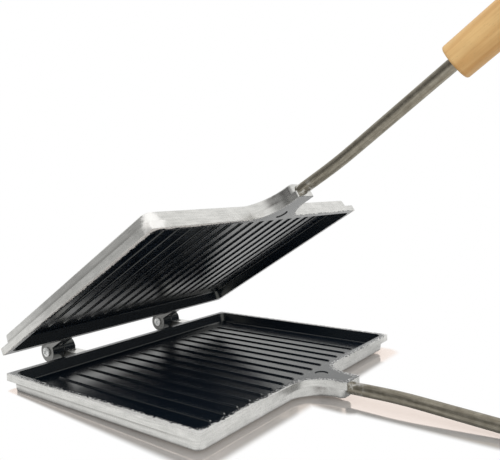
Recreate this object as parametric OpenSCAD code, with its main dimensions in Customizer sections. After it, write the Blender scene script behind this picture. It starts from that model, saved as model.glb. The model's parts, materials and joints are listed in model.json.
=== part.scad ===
// Stovetop sandwich maker: two ribbed cast-aluminium pans joined by a pair of
// screw hinges, each pan with a bent steel rod and a turned wooden grip.
//
// Frame: the origin is the centre of the lower pan's flat underside, +X runs
// towards the handles, +Y along the hinge axis and +Z up. The lower pan lies
// level. The upper pan is the same casting turned over and swung open.

/* [Pans] */
// Size of a pan from its hinge side to its handle side
pan_length = 176; // [140:1:220]
// Size of a pan along the hinge axis
pan_width = 231; // [160:1:260]
// Height of a pan from its underside to its rim
pan_height = 12; // [11:0.5:18]
// Thickness of the cooking floor between the ribs
floor_thickness = 4; // [3:0.25:5]
// Width of the flat rim that closes on the other pan
rim_width = 4; // [3.5:0.25:7]
// Height of the lip that runs round the rim
lip_height = 4.7; // [3:0.1:6]
// How far the lip stands out over the wall below it
lip_overhang = 2.25; // [1:0.05:2.75]
// Sideways draft of the outer wall for each unit of height
wall_slope = 0.105; // [0.05:0.005:0.15]
// Sideways draft of the tray's wall for each unit of height
tray_slope = 0.3; // [0.1:0.02:0.4]
// Radius of the lip's corners
lip_corner = 1.6; // [0.8:0.1:3]
// Radius of the outer wall's corners at the underside
wall_corner = 4.8; // [3:0.1:8]
// Radius of the tray's corners at the floor
tray_corner = 3; // [2:0.1:6]
// Radius where the tray's wall meets its floor
tray_fillet = 1.5; // [0.5:0.1:1.8]
// Radius of the edge round the underside
foot_edge = 1.2; // [0.5:0.1:2]
// Gap between the two rims when the pans are shut
rim_gap = 0.4; // [0.3:0.05:0.8]

/* [Ribs] */
// Distance from one rib to the next
rib_pitch = 12.3; // [9:0.1:18]
// Width of a rib at its widest
rib_width = 2.2; // [1.6:0.1:3]
// Height of a rib above the floor
rib_height = 0.9; // [0.5:0.05:1]
// Distance from a rib's end to the outside of the rim
rib_end_gap = 17.8; // [14:0.1:30]
// Least plain floor between the outermost rib and the tray's side wall
rib_side_gap = 20; // [12:0.5:30]

/* [Neck] */
// Length of the neck beyond the rim
neck_length = 26.7; // [22:0.1:40]
// Width of the neck across its straight end
neck_width = 18.6; // [16:0.1:26]
// Radius of the curves that spread the neck into the rim
flare_radius = 19; // [12:0.5:21]
// Radius of the neck's end corners
neck_corner = 1.4; // [0.8:0.1:2.5]
// Diameter of the shallow round mark on the neck's face
neck_mark = 8.8; // [5:0.1:10]
// Distance of that mark's centre beyond the rim's outside
neck_mark_offset = 3.6; // [3:0.1:6]
// Depth of the round marks left by the casting's ejector pins
mark_depth = 0.5; // [0.2:0.05:0.8]

/* [Hinges] */
// Distance from the rim's outside to the hinge axis
hinge_reach = 22; // [18:0.5:30]
// Distance between the two hinges
hinge_spacing = 117.3; // [90:0.1:140]
// Width of one hinge lug along the axis
lug_width = 9.8; // [8:0.1:14]
// Radius of a lug's round end
barrel_radius = 7.8; // [6:0.1:8.2]
// Radius of the curve under a lug where it meets the wall
arm_fillet = 2.4; // [1:0.1:2.6]
// Diameter of the small round mark on a lug's arm
lug_mark = 5.2; // [4:0.1:5.6]
// Distance of that mark's centre from the hinge axis
lug_mark_offset = 11.2; // [11.2:0.1:14]
// Side gap at each face that turns against another
side_play = 0.3; // [0.2:0.05:0.5]
// Diameter of the hinge screws
screw_diameter = 4; // [3:0.5:5]
// Radial clearance of the screws in their bores
screw_fit = 0.05; // [0.02:0.01:0.1]
// Diameter of the screw's head
head_diameter = 7; // [6.5:0.1:9.5]
// Height of the screw's head
head_height = 1.9; // [1.8:0.1:3.5]
// Height of the head's straight side below its dome
head_side = 1; // [0.8:0.1:1.5]
// Span of the cross recess in the head
recess_span = 3.8; // [3:0.1:5]
// Width of the cross recess
recess_width = 0.9; // [0.6:0.1:1.2]
// Depth of the cross recess
recess_depth = 1.1; // [0.8:0.1:1.6]
// Outer diameter of the washer
washer_diameter = 9; // [8:0.1:11]
// Thickness of the washer
washer_thickness = 0.6; // [0.5:0.1:1.2]
// Width of the lock nut across its flats
nut_flats = 7; // [7:0.5:9]
// Height of the thin lock nut
nut_height = 2.4; // [2:0.1:4]
// Length of screw that stands out of the nut
screw_tip = 0.5; // [0.3:0.1:2]
// How far the sandwich maker stands open
open_angle = 30.8; // [5:0.1:90]

/* [Handles] */
// Diameter of the steel rods
rod_diameter = 8; // [6:0.5:9]
// Depth of the rod's axis below the rim at the neck
rod_depth = 5.8; // [5.4:0.1:6.2]
// Length of the rod inside the neck
rod_socket = 24; // [16:0.5:25]
// Length of straight rod from the neck to the bend
rod_straight = 18.6; // [10:0.1:60]
// Radius of the rod's gentle bend
bend_radius = 320; // [150:5:500]
// How far the bent rod drops from the rim's plane over each 100 of its length
rod_drop = 7.584; // [7:0.001:14]
// Length of straight rod from the bend to the grip
rod_tail = 74.6; // [60:0.1:120]
// Diameter of the wooden grip
grip_diameter = 22; // [18:0.5:23]
// Length of the wooden grip
grip_length = 120; // [90:1:150]
// Radius of the grip's end edges
grip_edge = 1.6; // [0.5:0.1:4]
// Depth of the rod inside the grip
grip_socket = 62; // [40:1:80]
// Radial clearance of the rod in the neck and in the grip
rod_fit = 0.03; // [0.01:0.01:0.08]
// Diameter of the pin that locks the grip on the rod
pin_diameter = 2.5; // [2:0.1:3.5]
// Distance of the pin from the rod's end
pin_setback = 10; // [6:0.5:16]
// Radial clearance of the pin in the grip and in the rod
pin_fit = 0.03; // [0.01:0.01:0.08]

/* [Hidden] */
$fn = 64;

aluminium = [0.80, 0.80, 0.79];
coating = [0.12, 0.12, 0.13];
steel = [0.45, 0.43, 0.41];
zinc = [0.80, 0.80, 0.78];
wood = [0.86, 0.68, 0.45];

// Overlap that sinks a feature into the solid it joins, or clears the one it cuts
overlap = 1;
// Turns a whole size into half of it
half = 0.5;
// Straight facets that round the edge of the underside and the tray's foot
edge_steps = 4;
// How far the neck's block draws in behind the curves of its lip where the two shapes cross
flare_crease = 0.2;
// Length of rod over which the drop of the bent end is given
drop_length = 100;
// Reach of the wedge that cuts the bend out of a whole ring, beyond the largest ring
bend_wedge = 750;

rim_edge = pan_length * half;
wall_foot = lip_overhang + wall_slope * pan_height;
tray_depth = pan_height - floor_thickness;
tray_foot = rim_width + tray_slope * tray_depth;
tray_half_width = pan_width * half - tray_foot;

rib_radius = rib_width * half;
rib_length = pan_length - 2 * rib_end_gap;
rib_pairs = floor((tray_half_width - rib_side_gap) / rib_pitch);

neck_end = rim_edge + neck_length;
flare_x = rim_edge + flare_radius;
flare_y = neck_width * half + flare_radius;

hinge_x = -rim_edge - hinge_reach;
hinge_z = pan_height + rim_gap * half;
hinge_y = hinge_spacing * half;
arm_bottom = hinge_z - barrel_radius;
wall_x = -rim_edge + lip_overhang;
fillet_x = -rim_edge + wall_foot;

screw_bore = screw_diameter * half + screw_fit;
lug_near = side_play * half;
lug_far = lug_near + lug_width;
head_seat = -lug_far - side_play;
nut_seat = lug_far + washer_thickness;
screw_end = nut_seat + nut_height + screw_tip;
hexagon = 6;
flats_to_corners = 1 / cos(180 / hexagon);
dome_height = head_height - head_side;
dome_radius = (pow(head_diameter * half, 2) + pow(dome_height, 2)) / (2 * dome_height);

rod_z = pan_height - rod_depth;
rod_start = neck_end - rod_socket;
bend_start = neck_end + rod_straight;
splay_angle = asin(rod_drop / drop_length);
bend_end_x = bend_start + bend_radius * sin(splay_angle);
bend_end_z = rod_z - bend_radius * (1 - cos(splay_angle));
socket_end = grip_socket + overlap;
pin_place = grip_socket - pin_setback;

// Rounds a coordinate to a thousandth, so that neighbouring outlines meet exactly
function snap(value) = round(value * 1000) / 1000;

// Half outline of a drafted wall, from its middle out to the wall, with a rounded foot
function drafted_points(foot, slope, height, edge) =
    let (edge_x = foot + slope * edge - edge * sqrt(1 + slope * slope), sweep = 90 - atan(slope))
    concat([[0, 0]],
           [for (i = [0:edge_steps]) let (a = sweep * i / edge_steps - 90)
               [snap(edge_x + edge * cos(a)), snap(edge + edge * sin(a))]],
           [[snap(foot + slope * height), height], [0, height]]);

// Whole outline of a drafted bar: two half outlines, each moved out by the same reach
module drafted_outline(reach, points) {
    for (side = [0, 1]) mirror([side, 0]) {
        translate([reach, 0]) polygon(points);
        square([reach, points[len(points) - 1][1]]);
    }
}

// Drafted block with round corners and a rounded foot; its sizes are those of its foot
module drafted_block(length, width, corner, slope, height, edge) {
    x = snap(length * half - corner);
    y = snap(width * half - corner);
    points = drafted_points(corner, slope, height, edge);
    rotate([90, 0, 90]) linear_extrude(2 * x, center = true) drafted_outline(y, points);
    rotate([90, 0, 0]) linear_extrude(2 * y, center = true) drafted_outline(x, points);
    for (px = [-x, x], py = [-y, y]) translate([px, py, 0]) rotate_extrude() polygon(points);
}

// Flat rectangle with round corners, from one end to the other along X
module rounded_plan(x0, x1, width, corner) {
    y = width * half - corner;
    translate([x0 + corner, -width * half]) square([x1 - x0 - 2 * corner, width]);
    translate([x0, -y]) square([x1 - x0, 2 * y]);
    for (px = [x0 + corner, x1 - corner], py = [-y, y]) translate([px, py]) circle(r = corner);
}

// Outline of the rim and of the neck that it runs out into
module rim_plan() {
    rounded_plan(-rim_edge, rim_edge, pan_width, lip_corner);
    rounded_plan(rim_edge - flare_radius, neck_end, neck_width, neck_corner);
    difference() {
        translate([rim_edge - flare_radius, -flare_y]) square([2 * flare_radius, 2 * flare_y]);
        for (side = [-1, 1]) translate([flare_x, side * flare_y]) circle(r = flare_radius);
    }
}

// Drafted block of the neck under its lip, spreading into the pan's wall
module neck_block() {
    neck_foot = neck_width * half - wall_foot;
    block_start = rim_edge - flare_radius;
    block_end = neck_end - wall_foot;
    points = drafted_points(neck_foot - flare_crease, wall_slope, pan_height + overlap, foot_edge);
    translate([(block_start + block_end) * half, 0, 0])
        drafted_block(block_end - block_start, 2 * neck_foot, neck_corner + lip_overhang, wall_slope,
                      pan_height, foot_edge);
    difference() {
        translate([block_start, -flare_y, 0])
            cube([2 * flare_radius, 2 * flare_y, pan_height]);
        for (side = [-1, 1]) translate([flare_x, side * flare_y, 0]) rotate_extrude()
            polygon(concat([[0, -overlap], [flare_y - points[1][0], -overlap]],
                           [for (i = [1:len(points) - 2]) [flare_y - points[i][0], points[i][1]]],
                           [[0, pan_height + overlap]]));
    }
}

// Hinge lug: a round end on the hinge axis and an arm flush with the rim
module hinge_lug() {
    rotate([90, 0, 0]) mirror([0, 0, 1]) linear_extrude(lug_width) {
        translate([hinge_x, hinge_z]) circle(r = barrel_radius);
        translate([hinge_x, arm_bottom])
            square([wall_x + overlap - hinge_x, pan_height - arm_bottom]);
        translate([fillet_x - arm_fillet, arm_bottom - arm_fillet]) difference() {
            square([arm_fillet + overlap, arm_fillet + overlap]);
            circle(r = arm_fillet);
        }
    }
}

// One raised rib with round ends, centred on its own axis
module rib() {
    rotate([0, 90, 0]) rotate_extrude() intersection() {
        union() {
            square([rib_width, rib_length - rib_width], center = true);
            for (side = [-1, 1]) translate([0, side * (rib_length - rib_width) * half])
                circle(r = rib_radius);
        }
        translate([0, -rib_length]) square([rib_width, 2 * rib_length]);
    }
}

// The casting that serves as either pan, lying with its tray upwards
module pan_casting() {
    color(aluminium) difference() {
        union() {
            drafted_block(pan_length - 2 * wall_foot, pan_width - 2 * wall_foot, wall_corner,
                          wall_slope, pan_height, foot_edge);
            neck_block();
            translate([0, 0, pan_height - lip_height]) linear_extrude(lip_height) rim_plan();
            for (y = [-hinge_y, hinge_y]) translate([0, y + lug_near, 0]) hinge_lug();
        }
        translate([0, 0, floor_thickness])
            drafted_block(pan_length - 2 * tray_foot, pan_width - 2 * tray_foot, tray_corner,
                          tray_slope, tray_depth + overlap, tray_fillet);
        translate([rod_start - rod_fit, 0, rod_z]) rotate([0, 90, 0])
            cylinder(h = rod_socket + overlap, r = rod_diameter * half + rod_fit);
        translate([rim_edge + neck_mark_offset, 0, pan_height - mark_depth])
            cylinder(h = mark_depth + overlap, r = neck_mark * half);
        for (y = [-hinge_y, hinge_y]) {
            translate([hinge_x, y, hinge_z]) rotate([-90, 0, 0])
                cylinder(h = lug_far + overlap, r = screw_bore);
            translate([hinge_x + lug_mark_offset, y + (lug_near + lug_far) * half,
                       pan_height - mark_depth])
                cylinder(h = mark_depth + overlap, r = lug_mark * half);
        }
    }
    color(coating) for (i = [-rib_pairs:rib_pairs])
        translate([0, i * rib_pitch, floor_thickness + rib_height - rib_radius]) rib();
}

// Places a child in the straight end of the bent rod, with +X running along it
module on_rod_tail(distance) {
    translate([bend_end_x, 0, bend_end_z]) rotate([0, splay_angle, 0])
        translate([distance, 0, 0]) children();
}

// Bent steel rod from inside the neck to inside the grip, drawn from its bend's centre
module rod() {
    radius = rod_diameter * half;
    color(steel) difference() {
        translate([bend_start, 0, rod_z - bend_radius]) rotate([90, -90, 180]) {
            translate([bend_radius, 0, 0]) rotate([90, 0, 0])
                cylinder(h = bend_start - rod_start, r = radius);
            intersection() {
                rotate_extrude() translate([bend_radius, 0]) circle(r = radius);
                linear_extrude(2 * rod_diameter, center = true)
                    polygon([[0, 0], [bend_wedge, 0],
                             bend_wedge * [cos(splay_angle), sin(splay_angle)]]);
            }
            rotate([0, 0, splay_angle]) translate([bend_radius, 0, 0]) rotate([-90, 0, 0])
                cylinder(h = rod_tail + grip_socket, r = radius);
        }
        on_rod_tail(rod_tail + pin_place) rotate([90, 0, 0])
            cylinder(h = rod_diameter + overlap, r = pin_diameter * half + pin_fit, center = true);
    }
}

// Turned wooden grip, bored for the rod and cross-bored for its pin
module grip() {
    straight = grip_length - 2 * grip_edge;
    radius = grip_diameter * half;
    color(wood) on_rod_tail(rod_tail) difference() {
        rotate([0, 90, 0]) rotate_extrude() {
            square([radius - grip_edge, grip_length]);
            translate([0, grip_edge]) square([radius, straight]);
            for (z = [grip_edge, grip_edge + straight]) translate([radius - grip_edge, z])
                circle(r = grip_edge);
        }
        translate([-overlap, 0, 0]) rotate([0, 90, 0])
            cylinder(h = socket_end + overlap, r = rod_diameter * half + rod_fit);
        translate([pin_place, 0, 0]) rotate([90, 0, 0])
            cylinder(h = grip_diameter + overlap, r = pin_diameter * half + pin_fit, center = true);
    }
}

// Steel pin across the grip and the rod's end
module grip_pin() {
    sunk = pin_diameter * half;
    color(steel) on_rod_tail(rod_tail + pin_place) rotate([90, 0, 0])
        cylinder(h = grip_diameter - sunk, r = pin_diameter * half, center = true);
}

// Pan-head screw with a cross recess, its axis along +Y through one hinge
module hinge_screw() {
    color(zinc) translate([hinge_x, 0, hinge_z]) rotate([-90, 0, 0]) {
        translate([0, 0, head_seat]) cylinder(h = screw_end - head_seat, r = screw_diameter * half);
        translate([0, 0, head_seat]) mirror([0, 0, 1]) difference() {
            rotate_extrude() intersection() {
                square([head_diameter * half, head_height]);
                translate([0, head_height - dome_radius]) circle(r = dome_radius);
            }
            for (turn = [45, 135]) rotate([0, 0, turn])
                translate([-recess_span * half, -recess_width * half, head_height - recess_depth])
                    cube([recess_span, recess_width, recess_depth + overlap]);
        }
    }
}

// Flat washer between the lug and the nut
module hinge_washer() {
    color(zinc) translate([hinge_x, lug_far, hinge_z]) rotate([-90, 0, 0]) difference() {
        cylinder(h = washer_thickness, r = washer_diameter * half);
        translate([0, 0, -overlap]) cylinder(h = washer_thickness + 2 * overlap, r = screw_bore);
    }
}

// Thin lock nut
module hinge_nut() {
    color(zinc) translate([hinge_x, nut_seat, hinge_z]) rotate([-90, 0, 0]) difference() {
        cylinder(h = nut_height, r = nut_flats * half * flats_to_corners, $fn = hexagon);
        translate([0, 0, -overlap]) cylinder(h = nut_height + 2 * overlap, r = screw_bore);
    }
}

// Turns what belongs to the lower pan over onto the upper side and swings it open
module upper_side() {
    translate([hinge_x, 0, hinge_z]) rotate([180, -open_angle, 0])
        translate([-hinge_x, 0, -hinge_z]) children();
}

// Moves a child to the hinge on the near side or on the far side
module at_near_hinge() translate([0, -hinge_y, 0]) children();
module at_far_hinge() translate([0, hinge_y, 0]) children();

module lower_pan() pan_casting();
module upper_pan() upper_side() pan_casting();
module lower_rod() rod();
module upper_rod() upper_side() rod();
module lower_grip() grip();
module upper_grip() upper_side() grip();
module lower_grip_pin() grip_pin();
module upper_grip_pin() upper_side() grip_pin();
module hinge_screw_near() at_near_hinge() hinge_screw();
module hinge_screw_far() at_far_hinge() hinge_screw();
module hinge_washer_near() at_near_hinge() hinge_washer();
module hinge_washer_far() at_far_hinge() hinge_washer();
module hinge_nut_near() at_near_hinge() hinge_nut();
module hinge_nut_far() at_far_hinge() hinge_nut();

lower_pan();
upper_pan();
lower_rod();
upper_rod();
lower_grip();
upper_grip();
lower_grip_pin();
upper_grip_pin();
hinge_screw_near();
hinge_screw_far();
hinge_washer_near();
hinge_washer_far();
hinge_nut_near();
hinge_nut_far();
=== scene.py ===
import json
from math import asin, atan2, cos, pi, radians, sin

import bpy
from mathutils import Matrix, Vector

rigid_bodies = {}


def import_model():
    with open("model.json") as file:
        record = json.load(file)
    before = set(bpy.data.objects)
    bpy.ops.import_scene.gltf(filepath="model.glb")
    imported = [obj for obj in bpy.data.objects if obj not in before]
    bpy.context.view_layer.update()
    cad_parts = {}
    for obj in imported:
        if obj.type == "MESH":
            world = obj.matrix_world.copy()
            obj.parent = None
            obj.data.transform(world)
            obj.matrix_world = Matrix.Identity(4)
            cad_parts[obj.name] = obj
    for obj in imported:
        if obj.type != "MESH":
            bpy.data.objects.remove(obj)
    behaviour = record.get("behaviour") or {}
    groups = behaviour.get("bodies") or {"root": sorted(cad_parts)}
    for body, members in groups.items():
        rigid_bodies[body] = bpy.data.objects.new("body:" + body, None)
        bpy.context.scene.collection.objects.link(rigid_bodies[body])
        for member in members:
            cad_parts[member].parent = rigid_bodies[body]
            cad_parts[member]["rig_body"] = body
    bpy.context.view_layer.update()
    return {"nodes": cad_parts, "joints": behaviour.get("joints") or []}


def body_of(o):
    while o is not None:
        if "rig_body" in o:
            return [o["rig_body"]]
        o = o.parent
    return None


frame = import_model()

MM = 0.001
LOWER, UPPER = "lower_half", "upper_half"

# Sizes of the part that the patterns and the floor follow, in millimetres
PAN_LENGTH, PAN_WIDTH, PAN_HEIGHT = 176, 231, 12
RIM_WIDTH, FLOOR_THICKNESS, LIP_HEIGHT = 4, 4, 4.7
RIB_PITCH, RIB_TIP = 12.3, (69.7, 0, 4.6)
NECK_LENGTH, NECK_WIDTH, FLARE_RADIUS = 26.7, 18.6, 19
ROD_RADIUS, ROD_Z, ROD_STRAIGHT, BEND_RADIUS, ROD_DROP = 4, 6.2, 18.6, 320, 0.07584
ROD_TAIL, GRIP_LENGTH = 74.6, 120

RIM_EDGE = PAN_LENGTH / 2
NECK_END = RIM_EDGE + NECK_LENGTH
SPLAY = asin(ROD_DROP)
BEND_END = Vector((NECK_END + ROD_STRAIGHT + BEND_RADIUS * sin(SPLAY), 0,
                   ROD_Z - BEND_RADIUS * (1 - cos(SPLAY))))

# Where each half stands: the upper one is the lower one turned over and swung open on the hinge
HINGE = frame["joints"][0]
HINGE_POINT = Vector(HINGE["pos_m"])
OPEN_ANGLE = -radians(HINGE["range_deg"][0])
HALF_PLACE = {
    LOWER: Matrix.Identity(4),
    UPPER: Matrix.Translation(HINGE_POINT) @ Matrix.Rotation(-OPEN_ANGLE, 4, "Y")
    @ Matrix.Rotation(pi, 4, "X") @ Matrix.Translation(-HINGE_POINT),
}
TAIL_PLACE = Matrix.Translation(BEND_END * MM) @ Matrix.Rotation(SPLAY, 4, "Y")

# The side of each half, in its own frame, that the camera sees, and how far beyond the rim its
# lugs are bare on top
NEAR_SIDE = {LOWER: -1, UPPER: 1}
# Strength of the painted highlight on the front corner, on the upper half only
CORNER_HIGHLIGHT = {LOWER: 0.0, UPPER: 1.0}
# How far the wall under the lip is darkened as painted shade
LIP_SHADE = {LOWER: 0.6, UPPER: 0.4}
EDGE_CHIPS = {LOWER: 0.95, UPPER: 0.3}
# How far the middle of the near side is darkened as painted shade, on the upper half only
SIDE_SHADE = {LOWER: 0.0, UPPER: 0.24}
LUG_SPRAY = {LOWER: -RIM_EDGE - 13, UPPER: -RIM_EDGE}


def linear(colour):
    """An sRGB hex colour as the linear RGBA that a shader takes."""
    parts = [int(colour[i:i + 2], 16) / 255 for i in (1, 3, 5)]
    return [p / 12.92 if p <= 0.04045 else ((p + 0.055) / 1.055) ** 2.4 for p in parts] + [1]


def add(tree, kind, values=(), links=(), **settings):
    """Adds a node: its settings, the values of its free sockets and the outputs linked to the rest."""
    node = tree.nodes.new(kind)
    for name, value in settings.items():
        setattr(node, name, value)
    for socket, value in dict(values).items():
        node.inputs[socket].default_value = value
    for socket, output in dict(links).items():
        tree.links.new(output, node.inputs[socket])
    return node


def new_material(name):
    """An empty material, its node tree and its output node."""
    material = bpy.data.materials.new(name)
    material.use_nodes = True
    material.node_tree.nodes.clear()
    return material, material.node_tree, material.node_tree.nodes.new("ShaderNodeOutputMaterial")


def own_space(tree, place):
    """Position and normal in a piece's own frame, in which it lies before place puts it."""
    back = place.inverted()
    seen = add(tree, "ShaderNodeTexCoord")
    turn = back.to_euler()
    point = add(tree, "ShaderNodeMapping", {"Location": back.translation, "Rotation": turn},
                {"Vector": seen.outputs["Object"]})
    normal = add(tree, "ShaderNodeMapping", {"Rotation": turn},
                 {"Vector": seen.outputs["Normal"]}, vector_type="VECTOR")
    return point.outputs[0], normal.outputs[0]


def coated_casting(name, body):
    """Pale, cloudy as-cast aluminium whose inner side is sprayed with a black non-stick coating."""
    material, tree, output = new_material(name)
    point, normal = own_space(tree, HALF_PLACE[body])
    x, y, z = add(tree, "ShaderNodeSeparateXYZ", links={0: point}).outputs
    across = add(tree, "ShaderNodeMath", links={0: y}, operation="ABSOLUTE")
    _, facing_side, facing_up = add(tree, "ShaderNodeSeparateXYZ", links={0: normal}).outputs

    # The ragged edge of the coating: torn every 2 mm, wandering every 25 mm
    tear = add(tree, "ShaderNodeTexNoise", {"Scale": 1 / (2.2 * MM), "Detail": 6.0,
                                            "Roughness": 0.72}, {"Vector": point})
    wander = add(tree, "ShaderNodeTexNoise", {"Scale": 1 / (25 * MM), "Detail": 2.0}, {"Vector": point})
    torn = add(tree, "ShaderNodeMapRange", {"From Min": 0.3, "From Max": 0.7, "To Min": -1.5 * MM,
                                            "To Max": 1.5 * MM},
               {"Value": tear.outputs[0]})
    wandered = add(tree, "ShaderNodeMapRange", {"To Min": -0.8 * MM, "To Max": 0.8 * MM},
                   {"Value": wander.outputs[0]})
    ragged = add(tree, "ShaderNodeMath", links={0: torn.outputs[0], 1: wandered.outputs[0]},
                 operation="ADD")

    # Distance beyond the coated rectangle. It leaves a bare strip of rim at the near corner of the
    # handle side and runs out over the edge away from there.
    corner, side_strip, handle_strip, hinge_strip = 3.5 * MM, 2.9 * MM, 1.9 * MM, -2.6 * MM
    low_x, high_x = -RIM_EDGE * MM + hinge_strip, RIM_EDGE * MM - handle_strip
    half_x, half_y = (high_x - low_x) / 2, PAN_WIDTH / 2 * MM - side_strip
    centred = add(tree, "ShaderNodeVectorMath", {1: ((low_x + high_x) / 2, 0, 0)}, {0: point},
                  operation="SUBTRACT")
    flat = add(tree, "ShaderNodeVectorMath", {1: (1, 1, 0)}, {0: centred.outputs[0]},
               operation="MULTIPLY")
    folded = add(tree, "ShaderNodeVectorMath", links={0: flat.outputs[0]}, operation="ABSOLUTE")
    beyond = add(tree, "ShaderNodeVectorMath", {1: (half_x - corner, half_y - corner, 0)},
                 {0: folded.outputs[0]}, operation="SUBTRACT")
    clipped = add(tree, "ShaderNodeVectorMath", {1: (0, 0, 0)}, {0: beyond.outputs[0]},
                  operation="MAXIMUM")
    distance = add(tree, "ShaderNodeVectorMath", links={0: clipped.outputs[0]}, operation="LENGTH")
    edge = add(tree, "ShaderNodeMath", {1: corner}, {0: distance.outputs["Value"]},
               operation="SUBTRACT")
    near_corner = (RIM_EDGE * MM, NEAR_SIDE[body] * PAN_WIDTH / 2 * MM, 6 * MM)
    away = add(tree, "ShaderNodeVectorMath", {1: near_corner}, {0: point}, operation="DISTANCE")
    spread = add(tree, "ShaderNodeMapRange", {"From Min": 30 * MM, "From Max": 150 * MM,
                                              "To Max": 1.9 * MM},
                 {"Value": away.outputs["Value"]}, interpolation_type="SMOOTHSTEP")
    edge = add(tree, "ShaderNodeMath", links={0: edge.outputs[0], 1: spread.outputs[0]},
               operation="SUBTRACT")
    on_plate = add(tree, "ShaderNodeMath", links={0: edge.outputs[0], 1: ragged.outputs[0]},
                   operation="ADD")

    # The same for the neck, which the coating covers up to its flared sides and its end
    near_x = add(tree, "ShaderNodeMath", {1: (RIM_EDGE + FLARE_RADIUS) * MM}, {0: x},
                 operation="MINIMUM")
    flare_point = add(tree, "ShaderNodeCombineXYZ",
                      links={0: near_x.outputs[0], 1: across.outputs[0]})
    flare_y = NECK_WIDTH / 2 + FLARE_RADIUS
    from_flare = add(tree, "ShaderNodeVectorMath",
                     {1: ((RIM_EDGE + FLARE_RADIUS) * MM, flare_y * MM, 0)},
                     {0: flare_point.outputs[0]}, operation="DISTANCE")
    past_flare = add(tree, "ShaderNodeMath", {0: (FLARE_RADIUS + 0.15) * MM},
                     {1: from_flare.outputs["Value"]}, operation="SUBTRACT")
    past_end = add(tree, "ShaderNodeMath", {1: (NECK_END + 0.2) * MM}, {0: x}, operation="SUBTRACT")
    past_side = add(tree, "ShaderNodeMath", {1: flare_y * MM}, {0: across.outputs[0]},
                    operation="SUBTRACT")
    off_neck = add(tree, "ShaderNodeMath",
                   links={0: past_flare.outputs[0], 1: past_end.outputs[0]}, operation="MAXIMUM")
    off_neck = add(tree, "ShaderNodeMath",
                   links={0: off_neck.outputs[0], 1: past_side.outputs[0]}, operation="MAXIMUM")
    off_neck = add(tree, "ShaderNodeMath", {1: -corner}, {0: off_neck.outputs[0]},
                   operation="MAXIMUM")
    neck_rag = add(tree, "ShaderNodeMath", {1: 0.12}, {0: torn.outputs[0]}, operation="MULTIPLY")
    on_neck = add(tree, "ShaderNodeMath",
                  links={0: off_neck.outputs[0], 1: neck_rag.outputs[0]}, operation="ADD")
    outline = add(tree, "ShaderNodeMath", links={0: on_plate.outputs[0], 1: on_neck.outputs[0]},
                  operation="MINIMUM")

    # Outside the tray the way down from the rim counts too, so that only the edge is wrapped
    tray_corner = 6.3
    corner_centre = Vector((RIM_EDGE, PAN_WIDTH / 2, 0)) - Vector((1, 1, 0)) * (
        RIM_WIDTH - 0.2 + tray_corner)
    level = add(tree, "ShaderNodeVectorMath", {1: (1, 1, 0)}, {0: point}, operation="MULTIPLY")
    level = add(tree, "ShaderNodeVectorMath", links={0: level.outputs[0]}, operation="ABSOLUTE")
    inside = add(tree, "ShaderNodeVectorMath", {1: corner_centre * MM}, {0: level.outputs[0]},
                 operation="SUBTRACT")
    inside = add(tree, "ShaderNodeVectorMath", {1: (0, 0, 0)}, {0: inside.outputs[0]},
                 operation="MAXIMUM")
    inside = add(tree, "ShaderNodeVectorMath", links={0: inside.outputs[0]}, operation="LENGTH")
    outside = add(tree, "ShaderNodeMath", {1: tray_corner * MM}, {0: inside.outputs["Value"]},
                  operation="GREATER_THAN")
    below_floor = add(tree, "ShaderNodeMath", {1: (FLOOR_THICKNESS - 0.5) * MM}, {0: z},
                      operation="LESS_THAN")
    shell = add(tree, "ShaderNodeMath", links={0: outside.outputs[0], 1: below_floor.outputs[0]},
                operation="MAXIMUM")
    depth = add(tree, "ShaderNodeMath", {0: PAN_HEIGHT * MM}, {1: z}, operation="SUBTRACT")
    way_down = add(tree, "ShaderNodeMath", links={0: depth.outputs[0], 1: shell.outputs[0]},
                   operation="MULTIPLY")
    reach = add(tree, "ShaderNodeMath", links={0: outline.outputs[0], 1: way_down.outputs[0]},
                operation="ADD")
    plate = add(tree, "ShaderNodeMapRange", {"From Min": 0.1 * MM, "From Max": -0.1 * MM},
                {"Value": reach.outputs[0]})

    # Chips of 1 mm out of the coating in the last 3 mm before its edge
    crumb = add(tree, "ShaderNodeTexNoise", {"Scale": 1 / (1.3 * MM), "Detail": 4.0,
                                             "Roughness": 0.7}, {"Vector": point})
    chip = add(tree, "ShaderNodeMapRange", {"From Min": 0.54, "From Max": 0.58,
                                            "To Max": EDGE_CHIPS[body]},
               {"Value": crumb.outputs[0]})
    near_edge = add(tree, "ShaderNodeMapRange", {"From Min": -3 * MM, "From Max": -1.5 * MM},
                    {"Value": on_plate.outputs[0]})
    rim_top = add(tree, "ShaderNodeMapRange", {"From Min": (PAN_HEIGHT - 1) * MM,
                                               "From Max": (PAN_HEIGHT - 0.7) * MM}, {"Value": z})
    off_the_neck = add(tree, "ShaderNodeMapRange", {"From Min": -corner, "From Max": -0.8 * corner},
                       {"Value": off_neck.outputs[0]})
    for share in (near_edge, rim_top, off_the_neck):
        chip = add(tree, "ShaderNodeMath", links={0: chip.outputs[0], 1: share.outputs[0]},
                   operation="MULTIPLY")
    unchipped = add(tree, "ShaderNodeMath", {0: 1.0}, {1: chip.outputs[0]}, operation="SUBTRACT")
    plate = add(tree, "ShaderNodeMath", links={0: plate.outputs[0], 1: unchipped.outputs[0]},
                operation="MULTIPLY")

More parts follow.
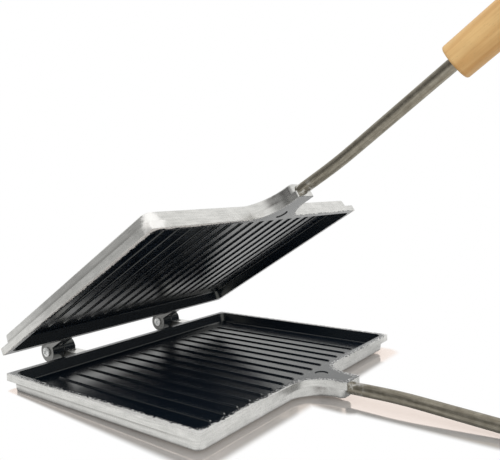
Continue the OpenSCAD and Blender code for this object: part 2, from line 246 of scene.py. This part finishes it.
    # Hinge lugs: coated where they face the spray, bare on their sides
    lug = add(tree, "ShaderNodeMath", {1: (-RIM_EDGE - 0.3) * MM}, {0: x}, operation="LESS_THAN")
    ragged_x = add(tree, "ShaderNodeMath", links={0: x, 1: ragged.outputs[0]}, operation="ADD")
    on_lug = add(tree, "ShaderNodeMapRange", {"From Min": (LUG_SPRAY[body] + 0.3) * MM,
                                              "From Max": (LUG_SPRAY[body] - 0.3) * MM},
                 {"Value": ragged_x.outputs[0]})
    sideways = add(tree, "ShaderNodeMath", links={0: facing_side}, operation="ABSOLUTE")
    round_face = add(tree, "ShaderNodeMath", {1: 0.6}, {0: sideways.outputs[0]},
                     operation="LESS_THAN")
    upward = add(tree, "ShaderNodeMath", {1: -0.4}, {0: facing_up}, operation="GREATER_THAN")
    lug_face = add(tree, "ShaderNodeMath", links={0: round_face.outputs[0], 1: upward.outputs[0]},
                   operation="MULTIPLY")
    lug_coat = add(tree, "ShaderNodeMath", links={0: on_lug.outputs[0], 1: lug_face.outputs[0]},
                   operation="MULTIPLY")
    coated = add(tree, "ShaderNodeMix", links={"Factor": lug.outputs[0], "A": plate.outputs[0],
                                               "B": lug_coat.outputs[0]}).outputs[0]

    # Painted highlights: dots of bare metal on the rounded ends of the ribs near the near corner,
    # standing in for the glints those ends catch
    wrapped = add(tree, "ShaderNodeMath", {1: RIB_PITCH / 2 * MM, 2: -RIB_PITCH / 2 * MM}, {0: y},
                  operation="WRAP")
    at_rib = add(tree, "ShaderNodeCombineXYZ", links={0: x, 1: wrapped.outputs[0], 2: z})
    from_tip = add(tree, "ShaderNodeVectorMath", {1: Vector(RIB_TIP) * MM}, {0: at_rib.outputs[0]},
                   operation="DISTANCE")
    tip_glint = add(tree, "ShaderNodeMapRange", {"From Min": 0.75 * MM, "From Max": 0.35 * MM,
                                              "To Max": 0.3}, {"Value": from_tip.outputs["Value"]})
    near_tips = add(tree, "ShaderNodeMapRange", {"From Min": 90 * MM, "From Max": 60 * MM},
                    {"Value": away.outputs["Value"]})
    tip_glint = add(tree, "ShaderNodeMath", links={0: tip_glint.outputs[0], 1: near_tips.outputs[0]},
                 operation="MULTIPLY")
    coated = add(tree, "ShaderNodeMath", links={0: coated, 1: tip_glint.outputs[0]},
                 operation="SUBTRACT").outputs[0]

    # Bare casting: cloudy oxide 7 mm across, streaks along the sides, grain and a few dark pits
    cloud = add(tree, "ShaderNodeTexNoise", {"Scale": 1 / (7 * MM), "Detail": 5.0, "Roughness": 0.6},
                {"Vector": point})
    level_way = add(tree, "ShaderNodeVectorMath", {1: (0.08, 0.08, 1)}, {0: point},
                    operation="MULTIPLY")
    streak = add(tree, "ShaderNodeTexNoise", {"Scale": 1 / (0.9 * MM), "Detail": 3.0},
                 {"Vector": level_way.outputs[0]})
    grain = add(tree, "ShaderNodeTexNoise", {"Scale": 1 / (0.6 * MM), "Detail": 3.0},
                {"Vector": point})
    tone = add(tree, "ShaderNodeMath", links={0: cloud.outputs[0], 1: streak.outputs[0]},
               operation="ADD")
    tone = add(tree, "ShaderNodeMath", {1: 0.5}, {0: tone.outputs[0]}, operation="MULTIPLY")
    flat_back = add(tree, "ShaderNodeMapRange", {"From Min": -0.8, "From Max": -0.95,
                                                 "To Max": 0.55}, {"Value": facing_up})
    tone = add(tree, "ShaderNodeMix", {"B": 0.5}, {"Factor": flat_back.outputs[0],
                                                   "A": tone.outputs[0]})
    metal = add(tree, "ShaderNodeValToRGB", links={0: tone.outputs[0]})
    metal.color_ramp.elements[0].position = 0.34
    metal.color_ramp.elements[0].color = linear("#C6C6C2")
    metal.color_ramp.elements[1].position = 0.64
    metal.color_ramp.elements[1].color = linear("#E3E2DE")
    pit = add(tree, "ShaderNodeMapRange", {"From Min": 0.66, "From Max": 0.74, "To Min": 1.0,
                                           "To Max": 0.55}, {"Value": tear.outputs[0]})
    pitted = add(tree, "ShaderNodeVectorMath", links={0: metal.outputs[0], 3: pit.outputs[0]},
                 operation="SCALE")

    # Painted shade in the corner under the lip: the wall darkened up to the lip, patchy along the long
    # sides, none on the handle side
    uneven = add(tree, "ShaderNodeMapRange", {"To Min": -0.7 * MM, "To Max": 0.7 * MM},
                 {"Value": cloud.outputs[0]})
    up_to = add(tree, "ShaderNodeMath", links={0: z, 1: uneven.outputs[0]}, operation="ADD")
    lip_shade = add(tree, "ShaderNodeMapRange", {"From Min": 3.9 * MM, "From Max": 5.8 * MM,
                                             "To Max": LIP_SHADE[body]}, {"Value": up_to.outputs[0]})
    wall = add(tree, "ShaderNodeMath", {1: (PAN_HEIGHT - LIP_HEIGHT) * MM}, {0: z},
               operation="LESS_THAN")
    from_handle = add(tree, "ShaderNodeMapRange", {"From Min": 84 * MM, "From Max": 60 * MM},
                      {"Value": x})
    lip_shade = add(tree, "ShaderNodeMath", links={0: lip_shade.outputs[0], 1: wall.outputs[0]},
                operation="MULTIPLY")
    lip_shade = add(tree, "ShaderNodeMath", links={0: lip_shade.outputs[0], 1: from_handle.outputs[0]},
                operation="MULTIPLY")
    darkened_metal = add(tree, "ShaderNodeMix", {"B": linear("#57534D")},
                 {"Factor": lip_shade.outputs[0], "A": pitted.outputs[0]}, data_type="RGBA")
    metal_rough = add(tree, "ShaderNodeMapRange", {"To Min": 0.2, "To Max": 0.36},
                      {"Value": grain.outputs[0]})
    # Darker patches on the neck's sides below the lip, fading out towards the neck's end
    neck_side = add(tree, "ShaderNodeMapRange", {"From Min": (RIM_EDGE + 2) * MM,
                                                 "From Max": (RIM_EDGE + 7) * MM}, {"Value": x})
    clean_end = add(tree, "ShaderNodeMapRange", {"From Min": (RIM_EDGE + 10) * MM,
                                                 "From Max": (RIM_EDGE + 20) * MM,
                                                 "To Min": 1.0, "To Max": 0.1}, {"Value": x})
    low_side = add(tree, "ShaderNodeMapRange", {"From Min": 8.4 * MM, "From Max": 7 * MM}, {"Value": z})
    blotch = add(tree, "ShaderNodeMapRange", {"From Min": 0.35, "From Max": 0.6, "To Max": 0.7},
                 {"Value": cloud.outputs[0]})
    neck_patch = add(tree, "ShaderNodeMath", links={0: neck_side.outputs[0], 1: low_side.outputs[0]},
               operation="MULTIPLY")
    neck_patch = add(tree, "ShaderNodeMath", links={0: neck_patch.outputs[0], 1: clean_end.outputs[0]},
               operation="MULTIPLY")
    neck_patch = add(tree, "ShaderNodeMath", links={0: neck_patch.outputs[0], 1: blotch.outputs[0]},
               operation="MULTIPLY")
    darkened_metal = add(tree, "ShaderNodeMix", {"B": linear("#6E6966")},
                 {"Factor": neck_patch.outputs[0], "A": darkened_metal.outputs["Result"]}, data_type="RGBA")

    # Painted shade: the middle of the near side darkened, standing in for the darker reflection it shows
    # there
    off_middle = add(tree, "ShaderNodeMath", {1: 6 * MM}, {0: x}, operation="ADD")
    off_middle = add(tree, "ShaderNodeMath", links={0: off_middle.outputs[0]},
                     operation="ABSOLUTE")
    side_shade = add(tree, "ShaderNodeMapRange", {"From Min": 50 * MM, "From Max": 8 * MM,
                                             "To Max": SIDE_SHADE[body]},
                {"Value": off_middle.outputs[0]}, interpolation_type="SMOOTHSTEP")
    on_near_side = add(tree, "ShaderNodeMapRange", {"From Min": 0.3, "From Max": 0.7}, {
        "Value": add(tree, "ShaderNodeMath", {1: NEAR_SIDE[body]}, {0: facing_side},
                     operation="MULTIPLY").outputs[0]})
    side_shade = add(tree, "ShaderNodeMath", links={0: side_shade.outputs[0], 1: on_near_side.outputs[0]},
                operation="MULTIPLY")
    darkened_metal = add(tree, "ShaderNodeMix", {"B": linear("#2E2A26")},
                 {"Factor": side_shade.outputs[0], "A": darkened_metal.outputs["Result"]}, data_type="RGBA")

    # Sides of the hinge lugs, darkened to a third of the bare metal
    side_face = add(tree, "ShaderNodeMath", {1: 0.6}, {0: sideways.outputs[0]},
                    operation="GREATER_THAN")
    lug_side = add(tree, "ShaderNodeMath", links={0: side_face.outputs[0], 1: lug.outputs[0]},
                operation="MULTIPLY")
    lug_side_darkening = add(tree, "ShaderNodeMapRange", {"To Min": 1.0, "To Max": 0.33},
                 {"Value": lug_side.outputs[0]})
    darkened_metal = add(tree, "ShaderNodeVectorMath",
                 links={0: darkened_metal.outputs["Result"], 3: lug_side_darkening.outputs[0]}, operation="SCALE")

    # Top of the rim, filed bare: pale and matt
    filed = add(tree, "ShaderNodeMapRange", {"From Min": 0.5, "From Max": 0.8, "To Max": 0.9},
                {"Value": facing_up})
    off_lug = add(tree, "ShaderNodeMath", {0: 1.0}, {1: lug.outputs[0]}, operation="SUBTRACT")
    filed = add(tree, "ShaderNodeMath", links={0: filed.outputs[0], 1: off_lug.outputs[0]},
                operation="MULTIPLY")
    # Painted highlight: the front corner made pale and dull, with a ragged edge, standing in for the
    # bright highlight on its rounded corner. It joins the filed rim top below.
    highlight_point = (RIM_EDGE * MM, NEAR_SIDE[body] * (PAN_WIDTH / 2 - 4) * MM, 5 * MM)
    from_highlight = add(tree, "ShaderNodeVectorMath", {1: highlight_point}, {0: point}, operation="DISTANCE")
    off_corner = add(tree, "ShaderNodeMath", links={0: from_highlight.outputs["Value"],
                                                    1: torn.outputs[0]}, operation="ADD")
    corner_highlight = add(tree, "ShaderNodeMapRange", {"From Min": 10 * MM, "From Max": 6 * MM,
                                              "To Max": CORNER_HIGHLIGHT[body]},
                 {"Value": off_corner.outputs[0]}, interpolation_type="SMOOTHSTEP")
    filed_and_highlight = add(tree, "ShaderNodeMath", links={0: corner_highlight.outputs[0], 1: filed.outputs[0]},
               operation="MAXIMUM")
    pale = add(tree, "ShaderNodeMix", {"B": linear("#FCFBF8")},
               {"Factor": filed_and_highlight.outputs[0], "A": darkened_metal.outputs[0]}, data_type="RGBA")
    dull = add(tree, "ShaderNodeMix", {"B": 0.62},
               {"Factor": filed_and_highlight.outputs[0], "A": metal_rough.outputs[0]})
    metallic = add(tree, "ShaderNodeMapRange", {"To Min": 1.0, "To Max": 0.25},
                   {"Value": filed_and_highlight.outputs[0]})
    rounded = add(tree, "ShaderNodeBevel", {"Radius": 0.35 * MM}, samples=4)
    metal_bump = add(tree, "ShaderNodeBump", {"Strength": 0.3, "Distance": 0.04 * MM},
                     {"Height": grain.outputs[0], "Normal": rounded.outputs[0]})
    casting = add(tree, "ShaderNodeBsdfPrincipled", {},
                  {"Base Color": pale.outputs["Result"], "Roughness": dull.outputs[0],
                   "Metallic": metallic.outputs[0], "Normal": metal_bump.outputs[0]})

    # Coating: near black, a little blue, glossy, with the faint orange peel of a sprayed film
    peel = add(tree, "ShaderNodeTexNoise", {"Scale": 1 / (1.1 * MM), "Detail": 3.0},
               {"Vector": point})
    film_rough = add(tree, "ShaderNodeMapRange", {"To Min": 0.15, "To Max": 0.25},
                     {"Value": cloud.outputs[0]})
    film_bump = add(tree, "ShaderNodeBump", {"Strength": 0.25, "Distance": 0.04 * MM},
                    {"Height": peel.outputs[0], "Normal": rounded.outputs[0]})
    film = add(tree, "ShaderNodeBsdfPrincipled", {"Base Color": linear("#101821"), "IOR": 1.68,
                                                   "Specular Tint": linear("#FBFCF1")},
               {"Roughness": film_rough.outputs[0], "Normal": film_bump.outputs[0]})
    surface = add(tree, "ShaderNodeMixShader", links={0: coated, 1: casting.outputs[0],
                                                      2: film.outputs[0]})
    tree.links.new(surface.outputs[0], output.inputs[0])
    return material


def drawn_steel(name, body):
    """Plain drawn steel rod with its brown-grey mill skin, streaked along its length."""
    material, tree, output = new_material(name)
    point, _ = own_space(tree, HALF_PLACE[body] @ TAIL_PLACE)
    stretched = add(tree, "ShaderNodeVectorMath", {1: (0.06, 1, 1)}, {0: point},
                    operation="MULTIPLY")
    streak = add(tree, "ShaderNodeTexNoise", {"Scale": 1 / (0.9 * MM), "Detail": 4.0},
                 {"Vector": stretched.outputs[0]})
    scale = add(tree, "ShaderNodeTexNoise", {"Scale": 1 / (4 * MM), "Detail": 5.0,
                                             "Roughness": 0.65}, {"Vector": point})
    mixed = add(tree, "ShaderNodeMath", links={0: streak.outputs[0], 1: scale.outputs[0]},
                operation="MULTIPLY")
    skin = add(tree, "ShaderNodeValToRGB", links={0: mixed.outputs[0]})
    skin.color_ramp.elements[0].position = 0.1
    skin.color_ramp.elements[0].color = linear("#787265")
    skin.color_ramp.elements[1].position = 0.5
    skin.color_ramp.elements[1].color = linear("#B4AE9F")

    # Aluminium smeared on the rod where the casting ends
    along = add(tree, "ShaderNodeSeparateXYZ", links={0: point})
    near_neck = add(tree, "ShaderNodeMapRange",
                    {"From Min": (NECK_END - BEND_END.x + 10) * MM,
                     "From Max": (NECK_END - BEND_END.x + 3) * MM}, {"Value": along.outputs[0]})
    smeared = add(tree, "ShaderNodeMapRange", {"From Min": 0.52, "From Max": 0.58, "To Max": 0.9},
                  {"Value": scale.outputs[0]})
    smear = add(tree, "ShaderNodeMath", links={0: near_neck.outputs[0], 1: smeared.outputs[0]},
                operation="MULTIPLY")
    skin = add(tree, "ShaderNodeMix", {"B": linear("#E2E0DB")},
               {"Factor": smear.outputs[0], "A": skin.outputs[0]}, data_type="RGBA")
    rough = add(tree, "ShaderNodeMapRange", {"To Min": 0.3, "To Max": 0.5},
                {"Value": scale.outputs[0]})
    bump = add(tree, "ShaderNodeBump", {"Strength": 0.3, "Distance": 0.05 * MM},
               {"Height": mixed.outputs[0]})
    surface = add(tree, "ShaderNodeBsdfPrincipled", {"Metallic": 1.0},
                  {"Base Color": skin.outputs["Result"], "Roughness": rough.outputs[0],
                   "Normal": bump.outputs[0]})
    tree.links.new(surface.outputs[0], output.inputs[0])
    return material


def turned_beech(name, body):
    """Turned beech with a thin oil finish: warm straw colour, fine grain lines and short flecks."""
    material, tree, output = new_material(name)
    point, _ = own_space(tree, HALF_PLACE[body] @ TAIL_PLACE)
    along = add(tree, "ShaderNodeVectorMath", {1: (0.05, 1, 1)}, {0: point}, operation="MULTIPLY")
    ring = add(tree, "ShaderNodeTexNoise", {"Scale": 1 / (3.5 * MM), "Detail": 4.0,
                                            "Distortion": 0.4}, {"Vector": along.outputs[0]})
    tone = add(tree, "ShaderNodeTexNoise", {"Scale": 1 / (14 * MM), "Detail": 3.0},
               {"Vector": point})
    short = add(tree, "ShaderNodeVectorMath", {1: (0.25, 1, 1)}, {0: point}, operation="MULTIPLY")
    fleck = add(tree, "ShaderNodeTexVoronoi", {"Scale": 1 / (0.9 * MM)},
                {"Vector": short.outputs[0]})
    wood = add(tree, "ShaderNodeValToRGB", links={0: ring.outputs[0]})
    wood.color_ramp.elements[0].position = 0.3
    wood.color_ramp.elements[0].color = linear("#D6A363")
    wood.color_ramp.elements[1].position = 0.68
    wood.color_ramp.elements[1].color = linear("#ECC486")
    shade = add(tree, "ShaderNodeMapRange", {"From Min": 0.3, "From Max": 0.7, "To Min": 0.9,
                                             "To Max": 1.0}, {"Value": tone.outputs[0]})
    toned = add(tree, "ShaderNodeVectorMath", links={0: wood.outputs[0], 3: shade.outputs[0]},
                operation="SCALE")
    marks = add(tree, "ShaderNodeMapRange", {"From Min": 0.0, "From Max": 0.25, "To Min": 0.82,
                                             "To Max": 1.0}, {"Value": fleck.outputs[0]})
    flecked = add(tree, "ShaderNodeVectorMath", links={0: toned.outputs[0], 3: marks.outputs[0]},
                  operation="SCALE")
    bump = add(tree, "ShaderNodeBump", {"Strength": 0.3, "Distance": 0.08 * MM},
               {"Height": ring.outputs[0]})
    rough = add(tree, "ShaderNodeMapRange", {"To Min": 0.42, "To Max": 0.6},
                {"Value": tone.outputs[0]})
    surface = add(tree, "ShaderNodeBsdfPrincipled", {"Specular IOR Level": 0.4},
                  {"Base Color": flecked.outputs[0], "Roughness": rough.outputs[0],
                   "Normal": bump.outputs[0]})
    tree.links.new(surface.outputs[0], output.inputs[0])
    return material


def zinc_plate(name):
    """Bright zinc-plated steel: cool and light, with slightly cloudy gloss."""
    material, tree, output = new_material(name)
    point, _ = own_space(tree, Matrix.Identity(4))
    cloud = add(tree, "ShaderNodeTexNoise", {"Scale": 1 / (1.5 * MM), "Detail": 3.0},
                {"Vector": point})
    plate = add(tree, "ShaderNodeValToRGB", links={0: cloud.outputs[0]})
    plate.color_ramp.elements[0].position = 0.3
    plate.color_ramp.elements[0].color = linear("#DADDDD")
    plate.color_ramp.elements[1].position = 0.7
    plate.color_ramp.elements[1].color = linear("#F6F7F5")
    rough = add(tree, "ShaderNodeMapRange", {"To Min": 0.2, "To Max": 0.38},
                {"Value": cloud.outputs[0]})
    surface = add(tree, "ShaderNodeBsdfPrincipled", {"Metallic": 0.5},
                  {"Base Color": plate.outputs[0], "Roughness": rough.outputs[0]})
    tree.links.new(surface.outputs[0], output.inputs[0])
    return material


FINISHES = {
    "lower_pan": coated_casting("cast_aluminium_coated_lower", LOWER),
    "upper_pan": coated_casting("cast_aluminium_coated_upper", UPPER),
}
ROD_STEEL = {body: drawn_steel(f"drawn_steel_{body}", body) for body in (LOWER, UPPER)}
BEECH = {body: turned_beech(f"turned_beech_{body}", body) for body in (LOWER, UPPER)}
ZINC = zinc_plate("zinc_plated_steel")

for name, node in frame["nodes"].items():
    body = body_of(node)
    if name.endswith("_pan"):
        finish = FINISHES[name]
    elif name.endswith("_grip"):
        finish = BEECH[UPPER if name.startswith("upper") else LOWER]
    elif name.endswith(("_rod", "_pin")):
        finish = ROD_STEEL[UPPER if name.startswith("upper") else LOWER]
    else:
        finish = ZINC
    for slot in node.material_slots:
        slot.material = finish


# Floor: a pale polished board that runs on beyond the view. The part stands on its hinge side
# and on its rod, which lies on the board's edge, so that the grip is free of the board.
BOARD_EDGE, FOOT_X = 229, 83.3
BOARD_DROP = 4.17
BOARD_PROFILE = ((2 * HINGE_POINT.x / MM - BOARD_EDGE, -BOARD_DROP), (2 * HINGE_POINT.x / MM + FOOT_X, 0),
                 (-FOOT_X, 0), (BOARD_EDGE, -BOARD_DROP))
BOARD_FRONT, BOARD_BACK = -1100, 3000

corners = [(x * MM, y * MM, z * MM) for x, z in BOARD_PROFILE for y in (BOARD_FRONT, BOARD_BACK)]
faces = [(2 * i, 2 * i + 2, 2 * i + 3, 2 * i + 1) for i in range(len(BOARD_PROFILE) - 1)]
board_mesh = bpy.data.meshes.new("board")
board_mesh.from_pydata(corners, [], faces)
board = bpy.data.objects.new("board", board_mesh)
bpy.context.scene.collection.objects.link(board)

# Polished white board: where it is seen near the part it keeps the shadow and a soft mirrored band, and
# further out it is plain white. In mirrored light it glows instead with painted light and shade.
paint, tree, output = new_material("polished_white_board")
white = add(tree, "ShaderNodeBsdfDiffuse", {"Color": linear("#F9F9F8")})
mirror = add(tree, "ShaderNodeBsdfGlossy", {"Color": linear("#FFEDE2"), "Roughness": 0.04})
polish = add(tree, "ShaderNodeMixShader", {0: 0.65}, {1: white.outputs[0], 2: mirror.outputs[0]})
place = add(tree, "ShaderNodeTexCoord").outputs["Object"]
away = None
for middle, half in (((0, 0, 0), (84.5, 112, 9)), ((100, 0, 0), (16, 9, 9)),
                     ((165, 0, 0), (50, 5, 9))):
    shifted = add(tree, "ShaderNodeVectorMath", {1: Vector(middle) * MM}, {0: place},
                  operation="SUBTRACT")
    folded = add(tree, "ShaderNodeVectorMath", links={0: shifted.outputs[0]}, operation="ABSOLUTE")
    beyond = add(tree, "ShaderNodeVectorMath", {1: Vector(half) * MM}, {0: folded.outputs[0]},
                 operation="SUBTRACT")
    outer = add(tree, "ShaderNodeVectorMath", {1: (0, 0, 0)}, {0: beyond.outputs[0]},
                operation="MAXIMUM")
    gap = add(tree, "ShaderNodeVectorMath", links={0: outer.outputs[0]}, operation="LENGTH")
    away = gap.outputs["Value"] if away is None else add(
        tree, "ShaderNodeMath", links={0: away, 1: gap.outputs["Value"]},
        operation="MINIMUM").outputs[0]
floor_x = add(tree, "ShaderNodeSeparateXYZ", links={0: place})
lifted_pan = add(tree, "ShaderNodeMapRange", {"From Min": -RIM_EDGE * MM, "From Max": RIM_EDGE * MM,
                                              "To Min": 0.3}, {"Value": floor_x.outputs[0]})
spread = add(tree, "ShaderNodeMath", links={0: away, 1: lifted_pan.outputs[0]}, operation="DIVIDE")
plain = add(tree, "ShaderNodeMapRange", {"From Min": 8 * MM, "From Max": 15 * MM},
            {"Value": spread.outputs[0]}, interpolation_type="SMOOTHSTEP")
# Painted light and shade that the part mirrors of the board: a painted shadow under the pan, bright in
# front, dimmer along the handle side, bright again behind, and darker round the hinges
under_pan_shadow = add(tree, "ShaderNodeMapRange", {"From Min": 0.03, "From Max": 0.09, "To Min": 0.2,
                                         "To Max": 0.36}, {"Value": floor_x.outputs[0]})
painted_board_light = add(tree, "ShaderNodeMapRange", {"From Max": 6 * MM},
                 {"Value": away, "To Min": under_pan_shadow.outputs[0]}, interpolation_type="SMOOTHSTEP")
dimmer = add(tree, "ShaderNodeMapRange", {"From Min": -0.12, "From Max": 0.14, "To Min": 0.95,
                                          "To Max": 0.62}, {"Value": floor_x.outputs[1]})
rear = add(tree, "ShaderNodeMapRange", {"From Min": 0.12, "From Max": 0.17, "To Max": 0.46},
           {"Value": floor_x.outputs[1]}, interpolation_type="SMOOTHSTEP")
hinge_shade = add(tree, "ShaderNodeVectorMath", {1: (-0.102, 0.02, 0)}, {0: place},
                  operation="DISTANCE")
behind_hinge = add(tree, "ShaderNodeMapRange", {"From Min": 30 * MM, "From Max": 80 * MM,
                                                "To Min": 0.6, "To Max": 1.0},
                   {"Value": hinge_shade.outputs["Value"]}, interpolation_type="SMOOTHSTEP")
lit = add(tree, "ShaderNodeMath", links={0: dimmer.outputs[0], 1: rear.outputs[0]},
          operation="ADD")
lit = add(tree, "ShaderNodeMath", links={0: lit.outputs[0], 1: behind_hinge.outputs[0]},
          operation="MULTIPLY")
painted_board_light = add(tree, "ShaderNodeMath", links={0: painted_board_light.outputs[0], 1: lit.outputs[0]},
                 operation="MULTIPLY")
seen = add(tree, "ShaderNodeLightPath")
in_view = add(tree, "ShaderNodeMath", links={0: plain.outputs[0], 1: seen.outputs["Is Camera Ray"]},
              operation="MULTIPLY")
share = add(tree, "ShaderNodeMath", links={0: in_view.outputs[0], 1: seen.outputs["Is Glossy Ray"]},
            operation="MAXIMUM")
level = add(tree, "ShaderNodeMix", {"A": 1.0}, {"Factor": seen.outputs["Is Glossy Ray"],
                                                "B": painted_board_light.outputs[0]})
glow = add(tree, "ShaderNodeEmission", {"Color": (1, 1, 1, 1)}, {"Strength": level.outputs[0]})
faded = add(tree, "ShaderNodeMixShader", links={0: share.outputs[0], 1: polish.outputs[0],
                                                2: glow.outputs[0]})
tree.links.new(faded.outputs[0], output.inputs[0])
board_mesh.materials.append(paint)

# Studio: plain light from all round, white where it is seen and mirrored. In mirrored light the
# room behind the camera is darker, as it is in a studio.
world = bpy.data.worlds.new("studio")
bpy.context.scene.world = world
world.use_nodes = True
tree = world.node_tree
tree.nodes.clear()
direction = add(tree, "ShaderNodeTexCoord").outputs["Generated"]
height = add(tree, "ShaderNodeSeparateXYZ", links={0: direction})
steep = add(tree, "ShaderNodeMath", links={0: height.outputs[2]}, operation="ABSOLUTE")
dark = None
for way, start, full, depth, top, foot in (((-0.40, -0.80, 0.45), 0.38, 0.86, 0.62, 0.95, 0.7),
                                           ((-0.45, -0.87, 0.2), 0.93, 0.985, 0.3, 0.6, 0.4),
                                           ((0.75, 0.64, 0.165), 0.86, 0.95, 0.95, 0.45, 0.25)):
    along = add(tree, "ShaderNodeVectorMath", {1: way}, {0: direction}, operation="DOT_PRODUCT")
    lobe = add(tree, "ShaderNodeMapRange", {"From Min": start, "From Max": full, "To Max": depth},
               {"Value": along.outputs["Value"]}, interpolation_type="SMOOTHSTEP")
    low = add(tree, "ShaderNodeMapRange", {"From Min": top, "From Max": foot},
              {"Value": steep.outputs[0]}, interpolation_type="SMOOTHSTEP")
    shade = add(tree, "ShaderNodeMath", links={0: lobe.outputs[0], 1: low.outputs[0]},
                operation="MULTIPLY")
    dark = shade.outputs[0] if dark is None else add(
        tree, "ShaderNodeMath", links={0: dark, 1: shade.outputs[0]}, operation="ADD").outputs[0]
room = add(tree, "ShaderNodeMath", {0: 1.0}, {1: dark}, operation="SUBTRACT")
room = add(tree, "ShaderNodeMath", {1: 0.05}, {0: room.outputs[0]}, operation="MAXIMUM")
ray = add(tree, "ShaderNodeLightPath")
clear_view = add(tree, "ShaderNodeMath", links={0: ray.outputs["Is Camera Ray"],
                                                1: ray.outputs["Is Transmission Ray"]},
                 operation="MAXIMUM")
ambient = add(tree, "ShaderNodeMapRange", {"From Min": -1.0, "To Min": 0.5},
              {"Value": height.outputs[2]})
unseen = add(tree, "ShaderNodeMix", links={"Factor": ray.outputs["Is Glossy Ray"],
                                           "A": ambient.outputs[0], "B": room.outputs[0]})
strength = add(tree, "ShaderNodeMix", {"B": 1.0}, {"Factor": clear_view.outputs[0],
                                                   "A": unseen.outputs[0]})
light = add(tree, "ShaderNodeBackground", {"Color": (1, 1, 1, 1)},
            {"Strength": strength.outputs[0]})
output = add(tree, "ShaderNodeOutputWorld", links={"Surface": light.outputs[0]})

# One large soft lamp high on the right behind the camera
KEY_AIM = Vector((0, 0, 0.06))
KEY_WAY = Vector((0.62, -0.55, 0.56)).normalized()
key = bpy.data.lights.new("key", "AREA")
key.shape, key.size, key.energy = "DISK", 1.4, 6.5
key_object = bpy.data.objects.new("key", key)
bpy.context.scene.collection.objects.link(key_object)
key_object.location = KEY_AIM + 1.8 * KEY_WAY
key_object.rotation_euler = KEY_WAY.to_track_quat("Z", "Y").to_euler()
key_object.visible_glossy = False

# Camera: place, turn and focal length of the photograph's view
TURN, LOWERED, TILT, FOCUS = radians(36.83), radians(3.9), radians(-1.41), 41.195
ahead = Vector((-sin(TURN) * cos(LOWERED), cos(TURN) * cos(LOWERED), -sin(LOWERED)))
level_right = Vector((cos(TURN), sin(TURN), 0))
level_up = level_right.cross(ahead)
right = cos(TILT) * level_right + sin(TILT) * level_up
up = right.cross(ahead)
camera_data = bpy.data.cameras.new("camera")
camera_data.lens, camera_data.sensor_width = FOCUS, 36
camera = bpy.data.objects.new("camera", camera_data)
bpy.context.scene.collection.objects.link(camera)
camera.matrix_world = Matrix.Translation(Vector((275.9, -320.2, 131.8)) * MM) @ Matrix(
    (right, up, -ahead)).transposed().to_4x4()
camera_data.clip_start, camera_data.clip_end = 0.01, 20
bpy.context.scene.camera = camera

bpy.context.scene.view_settings.view_transform = "Standard"
